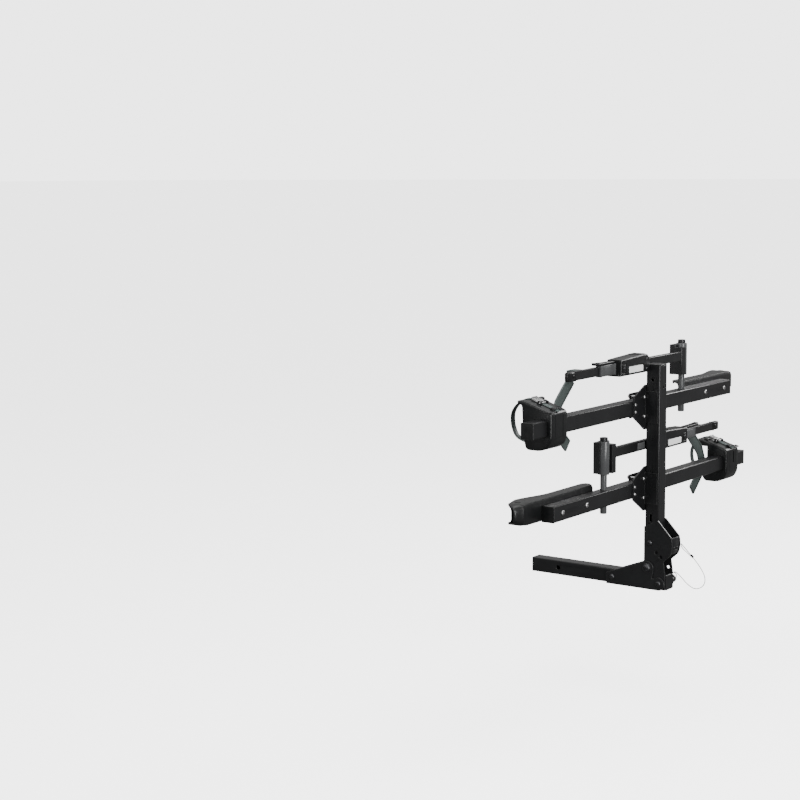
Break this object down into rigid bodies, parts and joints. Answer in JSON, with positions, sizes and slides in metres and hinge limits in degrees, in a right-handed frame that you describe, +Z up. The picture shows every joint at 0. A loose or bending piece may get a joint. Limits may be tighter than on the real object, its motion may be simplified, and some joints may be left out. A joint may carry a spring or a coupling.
{
  "type": "hitch mounted bike rack",
  "caption": "Platform bike rack for a hitch receiver, folded upright: pivoting square mast, crosswise wheel trays, telescoping tyre hooks, cradles, strapped baskets and a tethered lock pin.",
  "frame": {"origin": "centre of the hitch-pin bore through the hitch bar", "axes": "+X to the vehicle's right along the bore and the trays, +Y towards the vehicle along the hitch bar, +Z up"},
  "size_m": [1.458, 0.6332, 0.8071],
  "materials": {
    "powder_coat": "satin",
    "satin_black_steel": "semi-gloss",
    "black_plastic": "matte",
    "grey_plastic": "satin",
    "label_white": "satin",
    "hook_rubber": "satin",
    "strap_rubber": "satin",
    "bolt_steel": "satin",
    "black_bolts": "black zinc",
    "lanyard_wire": "stranded"
  },
  "bodies": {
    "bar": {"hitch_bar": "powder_coat", "bar_end_cap": "black_plastic", "ear_left": "powder_coat", "ear_right": "powder_coat", "ear_spacers": "powder_coat", "ear_bolts": "black_bolts", "pivot_bolt": "black_bolts", "lanyard_cable": "lanyard_wire", "lanyard_ferrule": "black_plastic"},
    "lock": {"lock_pin": "bolt_steel", "pin_ring": "bolt_steel"},
    "mast": {"mast_tube": "powder_coat", "mast_cap": "black_plastic", "foot_plate_left": "powder_coat", "foot_plate_right": "powder_coat", "foot_web": "powder_coat", "foot_bolts": "black_bolts", "pivot_bush": "black_bolts", "lanyard_eye": "bolt_steel", "clamp_backs": "powder_coat", "clamp_bolts": "bolt_steel", "tray_end_caps": "black_plastic", "cradle_bolts": "bolt_steel", "post_caps": "powder_coat", "upper_clamp_plate": "powder_coat", "upper_tray": "powder_coat", "upper_cradle": "black_plastic", "upper_arm_post": "satin_black_steel", "lower_clamp_plate": "powder_coat", "lower_tray": "powder_coat", "lower_cradle": "black_plastic", "lower_arm_post": "satin_black_steel"},
    "upper_arm": {"upper_arm_sleeve": "satin_black_steel", "upper_arm_bracket": "powder_coat", "upper_arm_tube": "powder_coat", "upper_ratchet_housing": "black_plastic", "upper_guide_collar": "grey_plastic", "upper_label_plate": "label_white"},
    "upper_release": {"upper_release_lever": "black_plastic"},
    "upper_hook": {"upper_hook_bar": "powder_coat", "upper_bar_tip": "black_plastic", "upper_tyre_hook": "hook_rubber"},
    "upper_basket_group": {"upper_basket": "black_plastic", "upper_wheel_strap": "strap_rubber"},
    "upper_buckle": {"upper_buckle_lever": "grey_plastic"},
    "lower_arm": {"lower_arm_sleeve": "satin_black_steel", "lower_arm_bracket": "powder_coat", "lower_arm_tube": "powder_coat", "lower_ratchet_housing": "black_plastic", "lower_guide_collar": "grey_plastic", "lower_label_plate": "label_white"},
    "lower_release": {"lower_release_lever": "black_plastic"},
    "lower_hook": {"lower_hook_bar": "powder_coat", "lower_bar_tip": "black_plastic", "lower_tyre_hook": "hook_rubber"},
    "lower_basket_group": {"lower_basket": "black_plastic", "lower_wheel_strap": "strap_rubber"},
    "lower_buckle": {"lower_buckle_lever": "grey_plastic"}
  },
  "joints": [
    {"name": "mast_fold", "type": "hinge", "parent": "bar", "child": "mast", "pos_m": [0, -0.35, 0.0446], "axis": [1, 0, 0], "range_deg": [0, 110]},
    {"name": "lock_pin_slide", "type": "slide", "parent": "bar", "child": "lock", "axis": [-1, 0, 0], "range_m": [0, 0.014]},
    {"name": "upper_arm_swing", "type": "hinge", "parent": "mast", "child": "upper_arm", "pos_m": [0.276, -0.309, 0.5851], "axis": [0, 0, 1], "range_deg": [-110, 0]},
    {"name": "upper_release_lift", "type": "hinge", "parent": "upper_arm", "child": "upper_release", "pos_m": [-0.2305, -0.3075, 0.7511], "axis": [0, 1, 0], "range_deg": [0, 15]},
    {"name": "upper_hook_slide", "type": "slide", "parent": "upper_arm", "child": "upper_hook", "axis": [-1, 0, 0], "range_m": [-0.14, 0.01]},
    {"name": "upper_basket_slide", "type": "slide", "parent": "mast", "child": "upper_basket_group", "axis": [-1, 0, 0], "range_m": [-0.01, 0.06]},
    {"name": "upper_buckle_open", "type": "hinge", "parent": "upper_basket_group", "child": "upper_buckle", "pos_m": [-0.5955, -0.28958, 0.65775], "axis": [1, 0, 0], "range_deg": [0, 80]},
    {"name": "lower_arm_swing", "type": "hinge", "parent": "mast", "child": "lower_arm", "pos_m": [-0.256, -0.309, 0.3131], "axis": [0, 0, 1], "range_deg": [0, 110]},
    {"name": "lower_release_lift", "type": "hinge", "parent": "lower_arm", "child": "lower_release", "pos_m": [0.2505, -0.3075, 0.4791], "axis": [0, -1, 0], "range_deg": [0, 15]},
    {"name": "lower_hook_slide", "type": "slide", "parent": "lower_arm", "child": "lower_hook", "axis": [1, 0, 0], "range_m": [-0.14, 0.01]},
    {"name": "lower_basket_slide", "type": "slide", "parent": "mast", "child": "lower_basket_group", "axis": [1, 0, 0], "range_m": [-0.01, 0.06]},
    {"name": "lower_buckle_open", "type": "hinge", "parent": "lower_basket_group", "child": "lower_buckle", "pos_m": [0.6155, -0.28958, 0.38575], "axis": [1, 0, 0], "range_deg": [0, 80]}
  ]
}
